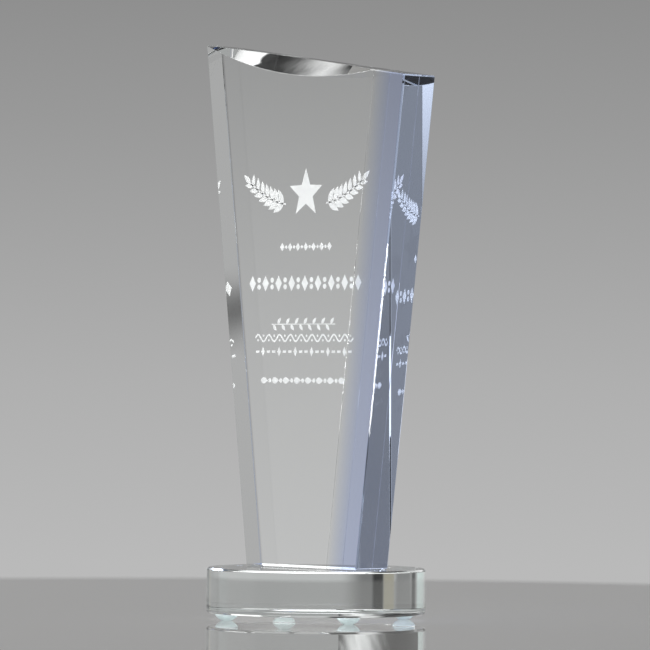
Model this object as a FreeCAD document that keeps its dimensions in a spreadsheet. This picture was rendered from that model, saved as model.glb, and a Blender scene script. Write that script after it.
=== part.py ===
import FreeCAD, Part

import os

import Sketcher

# Crystal award: a flared upright plate of clear crystal with a violet crystal bar bonded down its
# right side, standing on a thick round crystal base with four self-adhesive bumper feet.
# +Z is up and -Y is the front, which the engraving is read from. The origin is the middle of the
# base's footprint, at the level that the feet stand on. Lengths are in millimetres.

DRIVING_SIZES = {
    "tower_height": "231",              # at the taller, left corner
    "tower_bottom_width": "71",         # clear plate and violet bar together
    "tower_thickness": "19",
    "side_taper": "7.25",               # degrees that each side leans outwards
    "top_slope": "7.9",                 # degrees that the top falls towards the right
    "violet_width": "18.8",             # square to the bar's own long sides
    "polished_chamfer": "0.6",          # on every outer edge of the tower
    "scoop_drop": "7.4",                # how far the scoop reaches down the front face
    "scoop_setback": "8",               # how far it reaches back across the top
    "bond_thickness": "0.1",            # clear adhesive in both glued joints
    "base_diameter": "96",
    "base_thickness": "19.9",
    "base_chamfer": "0.9",
    "foot_diameter": "10",
    "foot_height": "2.8",               # the moulded dome alone
    "foot_skirt": "0.3",                # upright rim of the dome, beside its glued side
    "foot_contact_diameter": "4",       # flat that the dome stands on
    "foot_adhesive_thickness": "0.2",
    "foot_adhesive_inset": "0.2",       # the adhesive disc ends this far inside the dome's rim
    "foot_ring_diameter": "82.5",       # circle through the middles of the feet
    "foot_ring_turn": "-23",            # degrees from +X to the first foot
}


def height_at_top(start_x, inset="0"):
    """Formula for the height where a right-leaning side that starts at start_x meets the top."""
    drop = f"{inset} / cos(top_slope * 1deg) + ({start_x} - left_top_x) * top_fall"
    return f"=(tower_height - ({drop})) / (1 + side_lean * top_fall)"


def leaning_x(start_x, height):
    """Formula for the place across the front of a right-leaning side, at a given height."""
    return f"={start_x} + {height} * side_lean"


# Places that follow from the driving sizes.
DERIVED_SIZES = {
    "side_lean": "=tan(side_taper * 1deg)",
    "top_fall": "=tan(top_slope * 1deg)",
    "foot_top": "=foot_height + foot_adhesive_thickness",
    "base_top": "=foot_top + base_thickness",
    "tower_bottom": "=base_top + bond_thickness",
    "left_bottom_x": "=-tower_bottom_width / 2",
    "right_bottom_x": "=tower_bottom_width / 2",
    "violet_bottom_x": "=right_bottom_x - violet_width / cos(side_taper * 1deg)",
    "clear_bottom_x": "=violet_bottom_x - bond_thickness / cos(side_taper * 1deg)",
    "left_top_x": "=left_bottom_x - tower_height * side_lean",
    "right_height": height_at_top("right_bottom_x"),
    "right_top_x": leaning_x("right_bottom_x", "right_height"),
    "violet_joint_height": height_at_top("violet_bottom_x"),
    "violet_top_x": leaning_x("violet_bottom_x", "violet_joint_height"),
    "clear_joint_height": height_at_top("clear_bottom_x"),
    "clear_top_x": leaning_x("clear_bottom_x", "clear_joint_height"),
    # The adhesive stops at the foot of the polished chamfers all round.
    "bond_depth": "=tower_thickness - 2 * polished_chamfer",
    "bond_clear_low_x": leaning_x("clear_bottom_x", "polished_chamfer"),
    "bond_violet_low_x": leaning_x("violet_bottom_x", "polished_chamfer"),
    "bond_clear_height": height_at_top("clear_bottom_x", "polished_chamfer"),
    "bond_violet_height": height_at_top("violet_bottom_x", "polished_chamfer"),
    "bond_clear_top_x": leaning_x("clear_bottom_x", "bond_clear_height"),
    "bond_violet_top_x": leaning_x("violet_bottom_x", "bond_violet_height"),
    # The scoop is ground by a wheel whose rim runs from one end of the clear plate's top front
    # edge to the other, so its radius follows from that edge and from the scoop's depth.
    "scoop_chord": "=(clear_top_x - left_top_x) / cos(top_slope * 1deg)",
    "scoop_slant": "=sqrt(scoop_drop^2 + scoop_setback^2)",
    "scoop_depth": "=scoop_drop * scoop_setback / scoop_slant",
    "scoop_radius": "=scoop_chord^2 / (8 * scoop_depth) + scoop_depth / 2",
    "scoop_wheel_width": "=4 * scoop_slant",
    "scoop_tilt": "=atan(scoop_setback / scoop_drop) / 1deg",
    "scoop_middle_x": "=(clear_top_x + left_top_x) / 2",
    "scoop_middle_height": "=(clear_joint_height + tower_height) / 2",
    "foot_radius": "=foot_diameter / 2",
    "foot_contact_radius": "=foot_contact_diameter / 2",
    "foot_dome_height": "=foot_height - foot_skirt",
    # The dome is part of a ball: the ball's centre lies on the foot's axis.
    "foot_ball_height": "=(foot_radius^2 - foot_contact_radius^2 + foot_dome_height^2)"
                        " / (2 * foot_dome_height)",
}

doc = FreeCAD.newDocument("crystal_award")
sheet = doc.addObject("Spreadsheet::Sheet", "sizes")
for row, (alias, content) in enumerate({**DRIVING_SIZES, **DERIVED_SIZES}.items(), start=1):
    sheet.set(f"A{row}", alias)
    sheet.set(f"B{row}", content)
    sheet.setAlias(f"B{row}", alias)
doc.recompute()

START, END, CENTRE = 1, 2, 3            # the points of a sketched line or arc
ORIGIN = (-1, START)                    # of a sketch
ACROSS_AXIS, UP_AXIS = -1, -2


def size(alias):
    """The present value of a cell, to draw near the right place before the sketch is solved."""
    return float(getattr(sheet, alias))


def make_body(name):
    body = doc.addObject("PartDesign::Body", name)
    body.Label = name
    return body


def make_sketch(body, name, role):
    """An empty sketch on one of the body's own origin planes."""
    sketch = body.newObject("Sketcher::SketchObject", name)
    plane = next(feature for feature in body.Origin.OriginFeatures if feature.Role == role)
    sketch.AttachmentSupport = (plane, [""])
    sketch.MapMode = "FlatFace"
    return sketch


def constrain(sketch, name, alias, kind, *where):
    """Adds a named size to a sketch and ties it to a cell."""
    index = sketch.addConstraint(Sketcher.Constraint(kind, *where, size(alias)))
    sketch.renameConstraint(index, name)
    sketch.setExpression(f"Constraints.{name}", f"sizes.{alias}")


def place_point(sketch, name, line, end, across, up):
    """Ties a point of a sketch to the cells for its places. None leaves it on that axis."""
    if across is None:
        sketch.addConstraint(Sketcher.Constraint("PointOnObject", line, end, UP_AXIS))
    else:
        constrain(sketch, f"{name}_across", across, "DistanceX", *ORIGIN, line, end)
    if up is None:
        sketch.addConstraint(Sketcher.Constraint("PointOnObject", line, end, ACROSS_AXIS))
    else:
        constrain(sketch, f"{name}_up", up, "DistanceY", *ORIGIN, line, end)


def corner_point(across, up):
    return FreeCAD.Vector(size(across) if across else 0, size(up) if up else 0, 0)


def draw_straight_outline(sketch, corners):
    """A closed outline of straight lines through corners, each a pair of cells."""
    points = [corner_point(*corner) for corner in corners]
    lines = []
    for start, end in zip(points, points[1:] + points[:1]):
        lines.append(sketch.addGeometry(Part.LineSegment(start, end), False))
    for line, following in zip(lines, lines[1:] + lines[:1]):
        sketch.addConstraint(Sketcher.Constraint("Coincident", line, END, following, START))
    for number, (line, corner) in enumerate(zip(lines, corners), start=1):
        place_point(sketch, f"corner{number}", line, START, *corner)


def edges_off_face(shape, direction):
    """Names of the edges that don't bound the face that looks most nearly in one direction."""
    joint = max(shape.Faces, key=lambda face: face.normalAt(0, 0).dot(direction))
    return [f"Edge{number}" for number, edge in enumerate(shape.Edges, start=1)
            if not any(edge.isSame(kept) for kept in joint.Edges)]


def make_plate(name, corners, depth):
    """An upright plate with its faces to the front and back, drawn from the tower's bottom up."""
    body = make_body(name)
    outline = make_sketch(body, f"{name}_outline", "XZ_Plane")
    draw_straight_outline(outline, corners)
    pad = body.newObject("PartDesign::Pad", f"{name}_pad")
    pad.Profile = outline
    pad.SideType = "Symmetric"
    pad.setExpression("Length", f"sizes.{depth}")
    body.setExpression("Placement.Base.z", "sizes.tower_bottom")
    doc.recompute()
    return body, pad


def polish_edges(body, pad, joint_direction):
    """Small polished chamfers on every edge except those of the face that is glued."""
    chamfer = body.newObject("PartDesign::Chamfer", f"{body.Name}_chamfer")
    chamfer.Base = (pad, edges_off_face(pad.Shape, joint_direction))
    chamfer.setExpression("Size", "sizes.polished_chamfer")
    body.Tip = chamfer


def make_clear_tower():
    """The clear plate: flared outline, sloping top, and a hollow ground scoop on its top edge."""
    blank, pad = make_plate("clear_tower_blank", [
        ("left_bottom_x", None),
        ("clear_bottom_x", None),
        ("clear_top_x", "clear_joint_height"),
        ("left_top_x", "tower_height"),
    ], "tower_thickness")
    polish_edges(blank, pad, FreeCAD.Vector(1, 0, 0))

    wheel = doc.addObject("Part::Cylinder", "scoop_wheel")
    wheel.setExpression("Radius", "sizes.scoop_radius")
    wheel.setExpression("Height", "sizes.scoop_wheel_width")
    edge_middle = ("create(<<vector>>; sizes.scoop_middle_x; -sizes.tower_thickness / 2;"
                   " sizes.tower_bottom + sizes.scoop_middle_height)")
    along_top = "create(<<rotation>>; create(<<vector>>; 0; 1; 0); sizes.top_slope)"
    leaning_back = "create(<<rotation>>; create(<<vector>>; 1; 0; 0); -sizes.scoop_tilt)"
    rim_on_edge = ("create(<<vector>>; 0; sizes.scoop_depth - sizes.scoop_radius;"
                   " -sizes.scoop_wheel_width / 2)")
    upright = "create(<<rotation>>; create(<<vector>>; 0; 0; 1); 0)"
    wheel.setExpression("Placement", f"create(<<placement>>; {edge_middle}; {along_top})"
                                     f" * create(<<placement>>; create(<<vector>>; 0; 0; 0);"
                                     f" {leaning_back})"
                                     f" * create(<<placement>>; {rim_on_edge}; {upright})")
    tower = doc.addObject("Part::Cut", "clear_tower")
    tower.Label = "clear_tower"
    tower.Base = blank
    tower.Tool = wheel
    return tower


def make_violet_bar():
    """The violet bar glued to the plate's right side, ground and polished flush with it."""
    bar, pad = make_plate("violet_side_bar", [
        ("violet_bottom_x", None),
        ("right_bottom_x", None),
        ("right_top_x", "right_height"),
        ("violet_top_x", "violet_joint_height"),
    ], "tower_thickness")
    polish_edges(bar, pad, FreeCAD.Vector(-1, 0, 0))
    return bar


def make_side_bond():
    """The clear adhesive between the plate and the bar, inside the polished chamfers."""
    bond, _ = make_plate("side_bond_film", [
        ("bond_clear_low_x", "polished_chamfer"),
        ("bond_violet_low_x", "polished_chamfer"),
        ("bond_violet_top_x", "bond_violet_height"),
        ("bond_clear_top_x", "bond_clear_height"),
    ], "bond_depth")
    return bond


def make_base_bond():
    """The clear adhesive under the tower, inside its polished bottom edges."""
    bond = doc.addObject("Part::Box", "base_bond_film")
    bond.Label = "base_bond_film"
    bond.setExpression("Length", "sizes.tower_bottom_width - 2 * sizes.polished_chamfer")
    bond.setExpression("Width", "sizes.bond_depth")
    bond.setExpression("Height", "sizes.bond_thickness")
    bond.setExpression("Placement.Base.x", "sizes.left_bottom_x + sizes.polished_chamfer")
    bond.setExpression("Placement.Base.y", "-sizes.bond_depth / 2")
    bond.setExpression("Placement.Base.z", "sizes.base_top")
    return bond


def make_round_base():
    """The thick round base, with a polished chamfer on both rims."""
    body = make_body("round_base")
    disc = make_sketch(body, "round_base_disc", "XY_Plane")
    circle = Part.Circle(FreeCAD.Vector(0, 0, 0), FreeCAD.Vector(0, 0, 1), size("base_diameter") / 2)
    rim = disc.addGeometry(circle, False)
    disc.addConstraint(Sketcher.Constraint("Coincident", rim, CENTRE, *ORIGIN))
    constrain(disc, "diameter", "base_diameter", "Diameter", rim)
    pad = body.newObject("PartDesign::Pad", "round_base_pad")
    pad.Profile = disc
    pad.setExpression("Length", "sizes.base_thickness")
    doc.recompute()
    chamfer = body.newObject("PartDesign::Chamfer", "round_base_chamfer")
    rims = [f"Edge{number}" for number, edge in enumerate(pad.Shape.Edges, start=1)
            if isinstance(edge.Curve, Part.Circle)]
    chamfer.Base = (pad, rims)
    chamfer.setExpression("Size", "sizes.base_chamfer")
    body.setExpression("Placement.Base.z", "sizes.foot_top")
    return body


def place_in_ring(piece, quarter):
    """Puts a foot's piece on the ring, a number of quarter turns on from the first foot."""
    angle = f"(sizes.foot_ring_turn + {90 * quarter}) * 1deg"
    piece.setExpression("Placement.Base.x", f"sizes.foot_ring_diameter / 2 * cos({angle})")
    piece.setExpression("Placement.Base.y", f"sizes.foot_ring_diameter / 2 * sin({angle})")


def make_foot(name, quarter):
    """A moulded bumper: a flat glued top, a short upright skirt, and a dome with a flat tip."""
    body = make_body(name)
    profile = make_sketch(body, f"{name}_profile", "XZ_Plane")
    corners = [
        (None, None),
        ("foot_contact_radius", None),
        ("foot_radius", "foot_dome_height"),
        ("foot_radius", "foot_height"),
        (None, "foot_height"),
    ]
    axis_bottom, tip_rim, skirt_low, skirt_high, axis_top = [corner_point(*c) for c in corners]
    ball = Part.Circle(FreeCAD.Vector(0, size("foot_ball_height"), 0), FreeCAD.Vector(0, 0, 1),
                       (skirt_low - FreeCAD.Vector(0, size("foot_ball_height"), 0)).Length)
    dome = Part.ArcOfCircle(ball, ball.parameter(tip_rim), ball.parameter(skirt_low))
    edges = [Part.LineSegment(axis_bottom, tip_rim), dome,
             Part.LineSegment(skirt_low, skirt_high), Part.LineSegment(skirt_high, axis_top),
             Part.LineSegment(axis_top, axis_bottom)]
    lines = [profile.addGeometry(edge, False) for edge in edges]
    for line, following in zip(lines, lines[1:] + lines[:1]):
        profile.addConstraint(Sketcher.Constraint("Coincident", line, END, following, START))
    for number, (line, corner) in enumerate(zip(lines, corners), start=1):
        place_point(profile, f"corner{number}", line, START, *corner)
    profile.addConstraint(Sketcher.Constraint("PointOnObject", lines[1], CENTRE, UP_AXIS))
    turned = body.newObject("PartDesign::Revolution", f"{name}_turned")
    turned.Profile = profile
    turned.ReferenceAxis = (profile, ["V_Axis"])
    turned.Angle = 360
    place_in_ring(body, quarter)
    return body


def make_foot_adhesive(name, quarter):
    """The thin adhesive disc between a foot and the base."""
    disc = doc.addObject("Part::Cylinder", name)
    disc.Label = name
    disc.setExpression("Radius", "sizes.foot_radius - sizes.foot_adhesive_inset")
    disc.setExpression("Height", "sizes.foot_adhesive_thickness")
    disc.setExpression("Placement.Base.z", "sizes.foot_height")
    place_in_ring(disc, quarter)
    return disc


pieces = [make_clear_tower(), make_violet_bar(), make_side_bond(), make_base_bond(),
          make_round_base()]
for quarter, side in enumerate(["right", "back", "left", "front"]):
    pieces.append(make_foot(f"foot_{side}", quarter))
    pieces.append(make_foot_adhesive(f"foot_adhesive_{side}", quarter))
doc.recompute()

for item in doc.Objects:
    if "Invalid" in item.State or "Error" in item.State:
        raise RuntimeError(f"{item.Name} failed: {item.State}")
for piece in pieces:
    if piece.Shape.isNull() or not piece.Shape.isValid():
        raise RuntimeError(f"{piece.Label} has no valid shape")

os.makedirs("parts", exist_ok=True)
for piece in pieces:
    piece.Shape.exportStep(f"parts/{piece.Label}.step")
    print(f"{piece.Label}: {len(piece.Shape.Solids)} solid, {piece.Shape.Volume:.1f} mm3")
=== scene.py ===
import math

import bmesh
import bpy
from mathutils import Matrix, Vector


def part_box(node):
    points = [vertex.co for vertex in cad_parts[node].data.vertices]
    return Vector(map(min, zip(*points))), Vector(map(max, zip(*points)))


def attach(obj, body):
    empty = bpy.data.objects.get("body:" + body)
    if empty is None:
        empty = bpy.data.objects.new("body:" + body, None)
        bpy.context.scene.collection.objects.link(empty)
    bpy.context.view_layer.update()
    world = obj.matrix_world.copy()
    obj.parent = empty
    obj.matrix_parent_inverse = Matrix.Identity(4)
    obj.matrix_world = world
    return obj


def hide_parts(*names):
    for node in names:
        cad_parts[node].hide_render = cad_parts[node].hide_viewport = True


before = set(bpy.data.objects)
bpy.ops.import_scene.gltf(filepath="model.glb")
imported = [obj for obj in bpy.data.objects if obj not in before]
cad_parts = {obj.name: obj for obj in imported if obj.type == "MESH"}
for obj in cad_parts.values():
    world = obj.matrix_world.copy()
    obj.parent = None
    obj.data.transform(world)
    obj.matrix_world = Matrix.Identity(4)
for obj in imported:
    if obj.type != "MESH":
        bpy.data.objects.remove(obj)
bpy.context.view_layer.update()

MM = 0.001
scene = bpy.context.scene

CRYSTAL_IOR = 1.517
BUMPER_IOR = 1.49
TRAPPED_DEPTH = 4.5
# What each crystal lets through, and how fast it takes up the rest.
CLEAR_DEPTH = ((0.35, 0.80, 0.70), 0.6)
VIOLET_DEPTH = ((0.02, 0.29, 0.975), 18.0)

BASE_CHAMFER = 0.9 * MM
BASE_EASE = 0.2 * MM
BASE_STEPS = 288
BASE_SHARP_ANGLE = math.radians(10)
EDGE_EASE = 0.12 * MM
EASED_EDGE_ANGLE = math.radians(28)
SHARP_ANGLE = math.radians(8)
FLAT_FACE_AREA = 150 * MM * MM
FEET = ("right", "back", "left", "front")

TOWER_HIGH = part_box("clear_tower")[1]
BASE_LOW, BASE_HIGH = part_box("round_base")
BOND_LOW, BOND_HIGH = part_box("base_bond_film")


# ---------------------------------------------------------------- view and stage

VIEW_AZIMUTH = math.radians(47)
VIEW_DISTANCE = 2.19
CAMERA_HEIGHT = 0.1028
CAMERA_SHIFT = 0.0029
AIM_HEIGHT = 0.1291
FIELD_WIDTH_AT_OBJECT = 0.2846
CAMERA_ROLL = math.radians(0.5)

TOWARDS_CAMERA = Vector((math.sin(VIEW_AZIMUTH), -math.cos(VIEW_AZIMUTH), 0))
CAMERA_RIGHT = Vector((math.cos(VIEW_AZIMUTH), math.sin(VIEW_AZIMUTH), 0))


def make_camera():
    data = bpy.data.cameras.new("camera")
    data.sensor_width = 36
    data.lens = data.sensor_width * VIEW_DISTANCE / FIELD_WIDTH_AT_OBJECT
    data.clip_end = 50
    camera = bpy.data.objects.new("camera", data)
    scene.collection.objects.link(camera)
    offset = CAMERA_RIGHT * CAMERA_SHIFT
    aim = offset + Vector((0, 0, AIM_HEIGHT))
    camera.location = offset + TOWARDS_CAMERA * VIEW_DISTANCE + Vector((0, 0, CAMERA_HEIGHT))
    look = (aim - camera.location).to_track_quat("-Z", "Y")
    camera.rotation_euler = (look.to_matrix() @ Matrix.Rotation(CAMERA_ROLL, 3, "Z")).to_euler()
    scene.camera = camera


class Nodes:
    """A short way to write a node tree."""

    def __init__(self, tree):
        self.tree = tree
        tree.nodes.clear()

    def add(self, kind, inputs=None, **settings):
        node = self.tree.nodes.new(kind)
        for name, value in settings.items():
            setattr(node, name, value)
        for name, value in (inputs or {}).items():
            socket = node.inputs[name]
            if isinstance(value, bpy.types.NodeSocket):
                self.tree.links.new(value, socket)
            else:
                socket.default_value = value
        return node

    def math(self, operation, first, second=0.0):
        node = self.add("ShaderNodeMath", {0: first, 1: second}, operation=operation)
        return node.outputs[0]

    def ramp(self, value, stops):
        node = self.add("ShaderNodeValToRGB", {"Fac": value})
        ramp = node.color_ramp
        while len(ramp.elements) < len(stops):
            ramp.elements.new(0.5)
        for element, (place, colour) in zip(ramp.elements, stops):
            element.position = place
            element.color = (*colour, 1)
        return node.outputs["Color"]


def make_material(name):
    material = bpy.data.materials.new(name)
    material.use_nodes = True
    return material, Nodes(material.node_tree)


def grey(value):
    return (value, value, value)


WORLD_LIGHT = 0.50

# How bright the backdrop is, from below the horizon to above it.
BACKDROP = ((0.0, 0.50), (0.35, 0.49), (0.5, 0.432), (0.72, 0.318), (0.85, 0.262), (1.0, 0.24))
BACKDROP_REACH = 0.12

# Painted reflections round the object, which light nothing: azimuths and elevations in degrees,
# soft edges, and how bright.
# Azimuth 0 is in front of the award, and 90 on its violet side. A later panel covers an earlier
# one. They were set for the camera's own view, so other views show them where they fall.
# Every panel is painted reflection: the base_ bands paint the bands in the base, and the flags,
# shades and glows paint dark lines and highlights in the crystal.
PANELS = (
    ("right_rear_wall", (70, 167), (-60, 45), (12, 8), grey(0.38)),
    ("right_front_wall", (10, 90), (-60, 60), (12, 8), grey(0.50)),
    ("front_left_wall", (-84, -20), (-60, 80), (8, 1.0), grey(0.30)),
    ("front_left_table_glow", (-70, -20), (-60, 3.2), (6, 3.0), grey(0.80)),
    ("rear_painted_highlight", (-175, -106), (12.5, 33), (5, 2.5), grey(1.6)),
    ("high_left_shade", (-112, -20), (30, 62), (6, 4), grey(0.06)),
    ("right_rear_flag", (120, 142), (11.3, 11.8), (3, 0.3), grey(0.09)),
    ("overhead_glow", (-181, 181), (66, 91), (1, 4), grey(2.0)),
    ("front_table_shade", (-74.5, -20), (-90, -20), (1.5, 3), grey(0.06)),
    ("side_glow", (-116, -100), (-34, -12), (1.0, 2), grey(0.85)),
    ("dark_flag", (-104, -74.5), (-50, -12), (5.0, 2), grey(0.01)),
    ("tip_flag", (-128, -115.5), (-34, -8), (1.5, 2), grey(0.03)),
    ("base_shade", (-120, -104), (-9, 9), (5, 3), grey(0.16)),
    ("base_dark_band", (-111.2, -105.8), (-9, 9), (1.0, 3), grey(0.01)),
    ("base_warm_band", (-105.5, -99.0), (-9, 9), (0.8, 3), (0.33, 0.31, 0.25)),
    ("base_grey_band", (-98, -84), (-9, 9), (2, 3), grey(0.20)),
    ("base_edge_dark", (-83, -78), (-9, 9), (1.5, 3), grey(0.04)),
    ("base_edge_glow", (-75, -58), (-9, 4), (2, 3), (0.66, 0.76, 0.74)),
)


def make_world():
    """A backdrop that darkens upwards, and panels and flags round the object that are painted
    reflections.

    The camera, glass and gloss see them. The light that falls on the object is plain white.
    """
    world = bpy.data.worlds.new("studio")
    scene.world = world
    world.use_nodes = True
    nodes = Nodes(world.node_tree)
    direction = nodes.add("ShaderNodeTexCoord").outputs["Generated"]
    parts = nodes.add("ShaderNodeSeparateXYZ", {0: direction}).outputs
    frontward = nodes.math("MULTIPLY", parts["Y"], -1.0)
    turn = nodes.math("MULTIPLY", nodes.math("ARCTAN2", parts["X"], frontward), 180 / math.pi)
    lift = nodes.math("MULTIPLY", nodes.math("ARCSINE", parts["Z"]), 180 / math.pi)

    def step(value, edge, softness, rising=True):
        return nodes.add("ShaderNodeMapRange", {
            "Value": value, "From Min": edge - softness, "From Max": edge + softness,
            "To Min": 0.0 if rising else 1.0, "To Max": 1.0 if rising else 0.0},
            interpolation_type="SMOOTHSTEP").outputs[0]

    place = nodes.add("ShaderNodeMapRange", {
        "Value": parts["Z"], "From Min": -BACKDROP_REACH, "From Max": BACKDROP_REACH}).outputs[0]
    colour = nodes.ramp(place, [(height, grey(value)) for height, value in BACKDROP])
    for name, sides, heights, softness, radiance in PANELS:
        mask = nodes.math("MULTIPLY", step(turn, sides[0], softness[0]),
                          step(turn, sides[1], softness[0], False))
        mask = nodes.math("MULTIPLY", mask, step(lift, heights[0], softness[1]))
        mask = nodes.math("MULTIPLY", mask, step(lift, heights[1], softness[1], False))
        mix = nodes.add("ShaderNodeMix", data_type="RGBA", label=name)
        sockets = {item.identifier: item for item in mix.inputs}
        nodes.tree.links.new(mask, sockets["Factor_Float"])
        nodes.tree.links.new(colour, sockets["A_Color"])
        sockets["B_Color"].default_value = (*radiance, 1)
        colour = next(item for item in mix.outputs if item.identifier == "Result_Color")
    seen = nodes.add("ShaderNodeBackground", {"Color": colour, "Strength": 1.0})
    light = nodes.add("ShaderNodeBackground", {"Color": (1, 1, 1, 1), "Strength": WORLD_LIGHT})
    path = nodes.add("ShaderNodeLightPath").outputs
    shown = nodes.math("MAXIMUM", path["Is Camera Ray"],
                       nodes.math("MAXIMUM", path["Is Glossy Ray"], path["Is Transmission Ray"]))
    mixed = nodes.add("ShaderNodeMixShader", {
        "Fac": shown, 1: light.outputs[0], 2: seen.outputs[0]})
    nodes.add("ShaderNodeOutputWorld", {"Surface": mixed.outputs[0]})


LAMP_AIM = Vector((0, 0, 0.13))


def heading(azimuth, elevation=0.0):
    """The direction at an azimuth and an elevation in degrees."""
    turn, lift = math.radians(azimuth), math.radians(elevation)
    return Vector((math.sin(turn) * math.cos(lift), -math.cos(turn) * math.cos(lift),
                   math.sin(lift)))


def make_light(name, azimuth, elevation, distance, size, power):
    data = bpy.data.lights.new(name, "AREA")
    data.shape = "RECTANGLE"
    data.size, data.size_y = size
    data.energy = power
    lamp = bpy.data.objects.new(name, data)
    scene.collection.objects.link(lamp)
    away = heading(azimuth, elevation)
    lamp.location = LAMP_AIM + away * distance
    lamp.rotation_euler = (-away).to_track_quat("-Z", "Y").to_euler()
    lamp.visible_camera = False
    lamp.visible_transmission = False


# A glowing card, no lamp: it paints the white, black and grey seen in the scoop through the
# crystal.
CARD_AZIMUTH = -98
CARD_CENTRE = Vector((-0.010, 0, 0.0885))
CARD_DISTANCE = 0.28
CARD_SHIFT = 0.035
CARD_WIDTH, CARD_HEIGHT = 0.25, 0.153
CARD_RAGGED = 0.035
# The card's glowing tones from its left to its right, under a glowing white band: painted
# reflection seen through the crystal.
CARD_TONES = ((0.0, 0.01), (0.52, 0.01), (0.60, 0.05), (0.66, 0.16), (0.72, 0.38), (0.78, 0.70),
              (0.85, 0.95), (0.90, 0.75), (0.95, 0.40), (1.0, 0.05))
CARD_WHITE_FROM = (0.668, 0.68)
CARD_WHITE = 1.8


def make_painted_reflection_card():
    """A glowing card low on the left, white over black and grey, that lights nothing and only shows
    through the crystal, as a painted reflection.
    """
    mesh = bpy.data.meshes.new("left_painted_reflection_card")
    build = bmesh.new()
    bmesh.ops.create_grid(build, x_segments=1, y_segments=1, size=0.5)
    build.to_mesh(mesh)
    build.free()
    card = bpy.data.objects.new("left_painted_reflection_card", mesh)
    scene.collection.objects.link(card)
    away = heading(CARD_AZIMUTH)
    along = Vector((away.y, -away.x, 0))
    centre = CARD_CENTRE + away * CARD_DISTANCE + along * CARD_SHIFT
    card.matrix_world = Matrix((
        (along.x * CARD_WIDTH, 0, -away.x, centre.x),
        (along.y * CARD_WIDTH, 0, -away.y, centre.y),
        (0, CARD_HEIGHT, 0, centre.z),
        (0, 0, 0, 1)))
    material, nodes = make_material("left_painted_reflection_card")
    place = nodes.add("ShaderNodeTexCoord").outputs["Object"]
    parts = nodes.add("ShaderNodeSeparateXYZ", {0: place}).outputs
    teeth = nodes.add("ShaderNodeTexWave", {
        "Vector": place, "Scale": 7.0, "Distortion": 2.5, "Detail": 2.0, "Detail Scale": 3.0},
        bands_direction="DIAGONAL").outputs["Fac"]
    teeth = nodes.math("MULTIPLY", nodes.math("SUBTRACT", teeth, 0.5), CARD_RAGGED)
    across = nodes.math("ADD", nodes.math("ADD", parts["X"], 0.5), teeth)
    upward = nodes.math("ADD", nodes.math("ADD", parts["Y"], 0.5), teeth)
    tone = nodes.ramp(across, [(place, grey(value)) for place, value in CARD_TONES])
    white = nodes.add("ShaderNodeMapRange", {
        "Value": upward, "From Min": CARD_WHITE_FROM[0], "From Max": CARD_WHITE_FROM[1]}).outputs[0]
    toned = nodes.add("ShaderNodeEmission", {"Color": tone, "Strength": 1.0})
    pale = nodes.add("ShaderNodeEmission", {"Color": (1, 1, 1, 1), "Strength": CARD_WHITE})
    glow = nodes.add("ShaderNodeMixShader", {"Fac": white, 1: toned.outputs[0], 2: pale.outputs[0]})
    nodes.add("ShaderNodeOutputMaterial", {"Surface": glow.outputs[0]})
    mesh.materials.append(material)
    card.visible_camera = card.visible_glossy = False
    card.visible_diffuse = card.visible_shadow = False


FLOOR_RADIUS = 0.52
FLOOR_FADE = (0.43, 0.50)


def make_floor():
    """A glossy grey table top that fades at its rim.

    What is mirrored inside the crystal looks through it, at the panels round the object.
    """
    mesh = bpy.data.meshes.new("table_top")
    build = bmesh.new()
    bmesh.ops.create_circle(build, cap_ends=True, segments=256, radius=FLOOR_RADIUS)
    build.to_mesh(mesh)
    build.free()
    floor = bpy.data.objects.new("table_top", mesh)
    scene.collection.objects.link(floor)
    material, nodes = make_material("table_top")
    place = nodes.add("ShaderNodeTexCoord").outputs["Object"]
    radius = nodes.add("ShaderNodeVectorMath", {0: place}, operation="LENGTH").outputs["Value"]
    edge = nodes.add("ShaderNodeMapRange", {
        "Value": radius, "From Min": FLOOR_FADE[0], "From Max": FLOOR_FADE[1]},
        interpolation_type="SMOOTHSTEP").outputs[0]
    surface = nodes.add("ShaderNodeBsdfPrincipled", {
        "Base Color": (0.36, 0.355, 0.345, 1), "Roughness": 0.012})
    clear = nodes.add("ShaderNodeBsdfTransparent")
    path = nodes.add("ShaderNodeLightPath").outputs
    mirrored = nodes.math("MULTIPLY", path["Is Transmission Ray"],
                          nodes.math("GREATER_THAN", path["Glossy Depth"], 0.5))
    mixed = nodes.add("ShaderNodeMixShader", {
        "Fac": nodes.math("MAXIMUM", edge, mirrored), 1: surface.outputs[0], 2: clear.outputs[0]})
    nodes.add("ShaderNodeOutputMaterial", {"Surface": mixed.outputs[0]})
    mesh.materials.append(material)


# ---------------------------------------------------------------- materials

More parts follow.
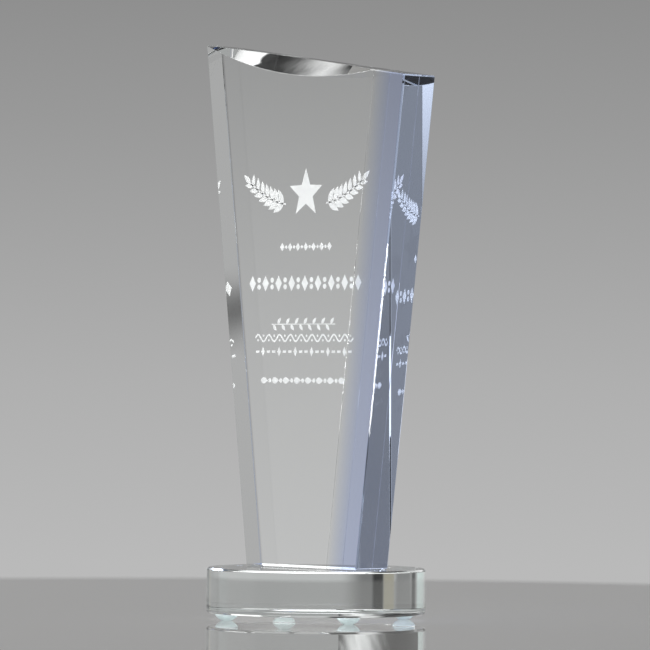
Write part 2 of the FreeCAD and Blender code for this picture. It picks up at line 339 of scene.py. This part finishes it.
def crystal(name, colour, absorb_colour, absorb_density):
    """Polished crystal: clear glass with its own colour in depth, and light let through its shadow.

    The adhesive bends light as the crystal does, so a face that it wets doesn't show. Such faces
    carry the attribute "glued". Light that is mirrored inside more often than TRAPPED_DEPTH is let
    straight out.
    """
    material, nodes = make_material(name)
    place = nodes.add("ShaderNodeTexCoord").outputs["Object"]
    cloud = nodes.add("ShaderNodeTexNoise", {
        "Vector": place, "Scale": 900.0, "Detail": 4.0}).outputs["Fac"]
    polish = nodes.add("ShaderNodeMapRange", {
        "Value": cloud, "From Min": 0.72, "From Max": 0.86,
        "To Min": 0.0, "To Max": 0.03}).outputs[0]
    wave = nodes.add("ShaderNodeTexNoise", {
        "Vector": place, "Scale": 45.0, "Detail": 1.0}).outputs["Fac"]
    bump = nodes.add("ShaderNodeBump", {
        "Height": wave, "Strength": 0.01, "Distance": 0.001}).outputs[0]
    glass = nodes.add("ShaderNodeBsdfPrincipled", {
        "Base Color": (*colour, 1), "Roughness": polish, "IOR": CRYSTAL_IOR,
        "Transmission Weight": 1.0, "Normal": bump})
    through = nodes.add("ShaderNodeBsdfTransparent", {"Color": (*colour, 1)})
    path = nodes.add("ShaderNodeLightPath").outputs
    outside = nodes.add("ShaderNodeMixShader", {
        "Fac": path["Is Shadow Ray"], 1: glass.outputs[0], 2: through.outputs[0]})
    wetted = nodes.add("ShaderNodeBsdfTransparent")
    glued = nodes.add("ShaderNodeAttribute", attribute_name="glued").outputs["Fac"]
    trapped = nodes.math("GREATER_THAN", path["Glossy Depth"], TRAPPED_DEPTH)
    surface = nodes.add("ShaderNodeMixShader", {
        "Fac": nodes.math("MAXIMUM", glued, trapped), 1: outside.outputs[0], 2: wetted.outputs[0]})
    absorb = nodes.add("ShaderNodeVolumeAbsorption", {
        "Color": (*absorb_colour, 1), "Density": absorb_density})
    nodes.add("ShaderNodeOutputMaterial", {
        "Surface": surface.outputs[0], "Volume": absorb.outputs[0]})
    return material


def adhesive(name):
    """Cured clear adhesive with a few tiny bubbles."""
    material, nodes = make_material(name)
    place = nodes.add("ShaderNodeTexCoord").outputs["Object"]
    cells = nodes.add("ShaderNodeTexVoronoi", {"Vector": place, "Scale": 700.0}).outputs["Distance"]
    patches = nodes.add("ShaderNodeTexNoise", {"Vector": place, "Scale": 60.0}).outputs["Fac"]
    size = nodes.math("SUBTRACT", nodes.math("MULTIPLY", patches, 0.5), 0.2)
    bubble = nodes.math("LESS_THAN", cells, size)
    amount = nodes.math("MULTIPLY", bubble, 0.25)
    clear = nodes.add("ShaderNodeBsdfTransparent", {"Color": (0.985, 0.985, 0.98, 1)})
    spot = nodes.add("ShaderNodeBsdfPrincipled", {
        "Base Color": (0.9, 0.9, 0.9, 1), "Roughness": 0.3})
    mixed = nodes.add("ShaderNodeMixShader", {
        "Fac": amount, 1: clear.outputs[0], 2: spot.outputs[0]})
    nodes.add("ShaderNodeOutputMaterial", {"Surface": mixed.outputs[0]})
    return material


def etched(name):
    """Sand-blasted crystal: white, matt and grainy."""
    material, nodes = make_material(name)
    place = nodes.add("ShaderNodeTexCoord").outputs["Object"]
    grain = nodes.add("ShaderNodeTexNoise", {
        "Vector": place, "Scale": 4000.0, "Detail": 3.0}).outputs["Fac"]
    tone = nodes.ramp(grain, [(0.3, grey(0.90)), (0.7, grey(0.98))])
    bump = nodes.add("ShaderNodeBump", {
        "Height": grain, "Strength": 0.4, "Distance": 0.0001}).outputs[0]
    front = nodes.add("ShaderNodeBsdfPrincipled", {
        "Base Color": tone, "Roughness": 0.7, "Normal": bump, "Specular IOR Level": 0.2})
    back = nodes.add("ShaderNodeBsdfTranslucent", {"Color": tone, "Normal": bump})
    mixed = nodes.add("ShaderNodeMixShader", {
        "Fac": 0.25, 1: front.outputs[0], 2: back.outputs[0]})
    nodes.add("ShaderNodeOutputMaterial", {"Surface": mixed.outputs[0]})
    return material


def bumper(name):
    """Clear moulded polyurethane, slightly milky."""
    material, nodes = make_material(name)
    place = nodes.add("ShaderNodeTexCoord").outputs["Object"]
    flow = nodes.add("ShaderNodeTexNoise", {
        "Vector": place, "Scale": 500.0, "Detail": 2.0}).outputs["Fac"]
    rough = nodes.add("ShaderNodeMapRange", {
        "Value": flow, "To Min": 0.05, "To Max": 0.25}).outputs[0]
    rubber = nodes.add("ShaderNodeBsdfPrincipled", {
        "Base Color": (0.87, 0.96, 0.98, 1), "Roughness": rough, "IOR": BUMPER_IOR,
        "Transmission Weight": 0.4})
    through = nodes.add("ShaderNodeBsdfTransparent", {"Color": (0.9, 0.9, 0.9, 1)})
    shadow = nodes.add("ShaderNodeLightPath").outputs["Is Shadow Ray"]
    mixed = nodes.add("ShaderNodeMixShader", {
        "Fac": shadow, 1: rubber.outputs[0], 2: through.outputs[0]})
    nodes.add("ShaderNodeOutputMaterial", {"Surface": mixed.outputs[0]})
    return material


# ---------------------------------------------------------------- pieces

def copy_of(node, name):
    """A new piece with the shape of a CAD node, standing for it."""
    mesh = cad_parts[node].data.copy()
    mesh.name = name
    mesh.materials.clear()
    piece = bpy.data.objects.new(name, mesh)
    scene.collection.objects.link(piece)
    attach(piece, "root")
    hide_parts(node)
    return piece


def clean(piece):
    """Joins the facets of flat faces again, and shades curved faces smooth."""
    mesh = piece.data
    build = bmesh.new()
    build.from_mesh(mesh)
    bmesh.ops.remove_doubles(build, verts=build.verts, dist=1e-6)
    bmesh.ops.dissolve_limit(build, angle_limit=math.radians(0.2),
                             verts=build.verts, edges=build.edges)
    build.to_mesh(mesh)
    build.free()
    mesh.shade_smooth()
    mesh.set_sharp_from_angle(angle=SHARP_ANGLE)


def ease_edges(piece, width):
    """Rounds the edges a little, as polishing does, and keeps the big faces flat up to them."""
    build = bmesh.new()
    build.from_mesh(piece.data)
    edges = [edge for edge in build.edges
             if len(edge.link_faces) == 2 and edge.calc_face_angle(0) > EASED_EDGE_ANGLE]
    bmesh.ops.bevel(build, geom=edges, offset=width, segments=3, profile=0.5, affect="EDGES",
                    clamp_overlap=True)
    build.to_mesh(piece.data)
    build.free()
    piece.data.set_sharp_from_angle(angle=SHARP_ANGLE)
    for face in piece.data.polygons:
        if face.area > FLAT_FACE_AREA:
            face.use_smooth = False


def lathed_base(name):
    """The base disc, turned about its axis with eased chamfers, standing for the CAD disc."""
    centre = (BASE_LOW + BASE_HIGH) / 2
    radius = (BASE_HIGH.x - BASE_LOW.x) / 2
    corners = [(radius - BASE_CHAMFER, BASE_LOW.z), (radius, BASE_LOW.z + BASE_CHAMFER),
               (radius, BASE_HIGH.z - BASE_CHAMFER), (radius - BASE_CHAMFER, BASE_HIGH.z)]
    before = [(0.0, BASE_LOW.z), *corners[:-1]]
    after = [*corners[1:], (0.0, BASE_HIGH.z)]
    profile = []
    for corner, one, two in zip(corners, before, after):
        corner, one, two = Vector(corner), Vector(one), Vector(two)
        start = corner + (one - corner).normalized() * BASE_EASE
        end = corner + (two - corner).normalized() * BASE_EASE
        for part in (0.0, 0.5, 1.0):
            profile.append(start.lerp(corner, part).lerp(corner.lerp(end, part), part))
    build = bmesh.new()
    rings = [[build.verts.new((centre.x + point.x * math.cos(math.tau * step / BASE_STEPS),
                               centre.y + point.x * math.sin(math.tau * step / BASE_STEPS),
                               point.y)) for step in range(BASE_STEPS)] for point in profile]
    for lower, upper in zip(rings, rings[1:]):
        for step in range(BASE_STEPS):
            following = (step + 1) % BASE_STEPS
            build.faces.new((lower[step], lower[following], upper[following], upper[step]))
    build.faces.new(list(reversed(rings[0])))
    build.faces.new(rings[-1])
    mesh = bpy.data.meshes.new(name)
    build.to_mesh(mesh)
    build.free()
    piece = bpy.data.objects.new(name, mesh)
    scene.collection.objects.link(piece)
    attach(piece, "root")
    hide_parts("round_base")
    mesh.shade_smooth()
    mesh.set_sharp_from_angle(angle=BASE_SHARP_ANGLE)
    return piece


def wet_faces(piece, chosen):
    """Marks the faces that adhesive wets: those for which chosen(face) is true."""
    glued = piece.data.attributes.new("glued", "FLOAT", "FACE")
    for face, value in zip(piece.data.polygons, glued.data):
        value.value = 1.0 if chosen(face) else 0.0


def looks(face, *directions):
    """Whether a face looks in one of the directions."""
    return any(face.normal.dot(direction) > 0.9999 for direction in directions)


def cut_footprint(piece, low, high):
    """Cuts the piece's top along the edges of a box, so that its footprint has faces of its own."""
    build = bmesh.new()
    build.from_mesh(piece.data)
    for corner, direction in ((low, (-1, 0, 0)), (high, (1, 0, 0)),
                              (low, (0, -1, 0)), (high, (0, 1, 0))):
        top = [face for face in build.faces if face.normal.z > 0.999]
        around = {item for face in top for item in (*face.verts, *face.edges)}
        bmesh.ops.bisect_plane(build, geom=[*top, *around], plane_co=corner, plane_no=direction)
    build.to_mesh(piece.data)
    build.free()


class Etching:
    """Flat closed marks in one mesh, just inside the back face of the clear plate."""

    def __init__(self, back, depth):
        self.build = bmesh.new()
        self.back, self.front = back, back - depth

    def mark(self, outline):
        """Adds one mark: (x, z) points in millimetres, counter-clockwise from the front."""
        near = [self.build.verts.new((x * MM, self.front, z * MM)) for x, z in outline]
        far = [self.build.verts.new((x * MM, self.back, z * MM)) for x, z in outline]
        self.build.faces.new(near)
        self.build.faces.new(list(reversed(far)))
        for one, two, three, four in zip(near, near[1:] + near[:1], far[1:] + far[:1], far):
            self.build.faces.new((two, one, four, three))

    def star(self, x, z, radius, inner=0.42):
        points = [(radius if step % 2 == 0 else radius * inner, math.pi / 2 + step * math.pi / 5)
                  for step in range(10)]
        self.mark([(x + length * math.cos(angle), z + length * math.sin(angle))
                   for length, angle in points])

    def bead(self, x, z, radius, steps=14):
        self.mark([(x + radius * math.cos(math.tau * step / steps),
                    z + radius * math.sin(math.tau * step / steps)) for step in range(steps)])

    def leaf(self, x, z, length, width, degrees, steps=8):
        """A pointed leaf whose stalk is at x, z."""
        turn = math.radians(degrees)
        side = [(length * step / steps, width / 2 * math.sin(math.pi * (step / steps) ** 0.8))
                for step in range(steps + 1)]
        outline = [(along, -across) for along, across in side] + [
            (along, across) for along, across in reversed(side[1:-1])]
        self.mark([(x + along * math.cos(turn) - across * math.sin(turn),
                    z + along * math.sin(turn) + across * math.cos(turn))
                   for along, across in outline])

    def lozenge(self, x, z, width, height):
        self.mark([(x, z - height / 2), (x + width / 2, z),
                   (x, z + height / 2), (x - width / 2, z)])

    def bar(self, x, z, width, height):
        self.mark([(x - width / 2, z - height / 2), (x + width / 2, z - height / 2),
                   (x + width / 2, z + height / 2), (x - width / 2, z + height / 2)])

    def ribbon(self, points, width):
        lower, upper = [], []
        for index, (x, z) in enumerate(points):
            before = points[max(index - 1, 0)]
            after = points[min(index + 1, len(points) - 1)]
            along = Vector((after[0] - before[0], after[1] - before[1])).normalized() * width / 2
            lower.append((x + along.y, z - along.x))
            upper.append((x - along.y, z + along.x))
        self.mark(lower + upper[::-1])

    def finish(self, name, material):
        mesh = bpy.data.meshes.new(name)
        self.build.to_mesh(mesh)
        self.build.free()
        mesh.materials.append(material)
        piece = bpy.data.objects.new(name, mesh)
        scene.collection.objects.link(piece)
        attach(piece, "root")
        return piece


def spread(low, high, count):
    """Evenly spaced values, with both ends."""
    return [low + (high - low) * index / (count - 1) for index in range(count)]


ETCH_INSET = 0.01 * MM
ETCH_DEPTH = 0.06 * MM


def etch_ornament():
    """A star between laurel sprays, and rows of plain ornament under it, without any lettering."""
    etch = Etching(TOWER_HIGH.y - ETCH_INSET, ETCH_DEPTH)
    middle = -9.0
    etch.star(middle, 187.0, 11.0)
    for side in (-1, 1):
        stem = [(middle + side * (13 + 23 * part), 182.5 + 9.5 * part ** 1.6)
                for part in spread(0, 1, 15)]
        etch.ribbon(stem if side > 0 else stem[::-1], 0.7)
        for index, (x, z) in enumerate(stem[1:-1:2]):
            lean = 14 + 5.5 * index
            size = 1 - 0.05 * index
            for turn in (lean + 48, lean - 44):
                etch.leaf(x, z, 7.4 * size, 3.1 * size, turn if side > 0 else 180 - turn)
        x, z = stem[-1]
        etch.leaf(x, z, 6.0, 2.4, 42 if side > 0 else 138)
    for index, x in enumerate(spread(-24.0, 6.4, 13)):
        if index % 2:
            etch.bead(x, 163.5, 0.75)
        else:
            etch.lozenge(x, 163.5, 2.9, 3.7)
    for index, x in enumerate(spread(-43.2, 24.8, 17)):
        if index % 2:
            etch.bead(x, 149.0, 1.15)
            etch.bead(x, 146.0, 1.15)
        else:
            etch.lozenge(x, 147.5, 4.2, 7.0)
    etch.bar(middle - 1.0, 129.5, 41.0, 0.35)
    for index, x in enumerate(spread(-29.5, 7.5, 14)):
        upper = 1 if index % 2 else -1
        etch.leaf(x, 129.5 + 0.25 * upper, 3.4, 1.7, 50 * upper)
    etch.ribbon([(x, 123.4 + 1.5 * math.sin((x + 41) * math.tau / 7.0))
                 for x in spread(-41.0, 22.0, 145)], 0.8)
    for index in range(18):
        upper = 1 if index % 2 else -1
        etch.bead(-41.0 + 3.5 * (index + 0.5), 123.4 + 1.0 * upper, 0.55)
    for index, x in enumerate(spread(-39.5, 20.0, 18)):
        if index % 3 == 1:
            etch.lozenge(x, 117.4, 2.4, 4.2)
        else:
            etch.bar(x, 117.4, 2.2, 1.1)
    for index, x in enumerate(spread(-35.0, 15.0, 15)):
        if index % 2:
            etch.bead(x, 104.7, 1.0)
        else:
            etch.leaf(x - 2.3, 104.7, 4.6, 2.9, 0)
    etch.finish("etched_ornament", etched_finish)


# ---------------------------------------------------------------- the scene

side_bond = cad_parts["side_bond_film"].data
TO_BAR = max(side_bond.polygons, key=lambda face: face.normal.x * face.area).normal.copy()
DOWN = Vector((0, 0, -1))

make_camera()
make_world()
make_floor()
make_light("overhead_softbox", 20, 78, 1.2, (0.5, 0.4), 5)
make_light("left_softbox", -62, 24, 1.5, (0.3, 0.8), 6)
make_light("low_front_strip", 43, -10.9, 1.5, (0.10, 0.20), 1.5)
make_painted_reflection_card()
make_light("front_softbox", 10, 30, 1.5, (0.5, 0.5), 9)

clear_crystal = crystal("clear_crystal", (0.995, 1.0, 0.998), *CLEAR_DEPTH)
violet_crystal = crystal("violet_crystal", (0.995, 0.995, 1.0), *VIOLET_DEPTH)
bond_finish = adhesive("cured_adhesive")
bumper_finish = bumper("bumper_polyurethane")
etched_finish = etched("etched_crystal")

tower = copy_of("clear_tower", "clear_plate")
clean(tower)
ease_edges(tower, EDGE_EASE)
tower.data.materials.append(clear_crystal)
wet_faces(tower, lambda face: looks(face, TO_BAR, DOWN))

bar = copy_of("violet_side_bar", "violet_bar")
clean(bar)
ease_edges(bar, EDGE_EASE)
bar.data.materials.append(violet_crystal)
wet_faces(bar, lambda face: looks(face, -TO_BAR, DOWN))

base = lathed_base("base_disc")
cut_footprint(base, BOND_LOW, BOND_HIGH)
base.data.materials.append(clear_crystal)
wet_faces(base, lambda face: looks(face, -DOWN) and BOND_LOW.x < face.center.x < BOND_HIGH.x
          and BOND_LOW.y < face.center.y < BOND_HIGH.y)

etch_ornament()

finishes = {"side_bond_film": bond_finish, "base_bond_film": bond_finish}
finishes.update((f"foot_adhesive_{side}", bond_finish) for side in FEET)
finishes.update((f"foot_{side}", bumper_finish) for side in FEET)
for node, finish in finishes.items():
    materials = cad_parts[node].data.materials
    materials.clear()
    materials.append(finish)

scene.view_settings.view_transform = "Standard"
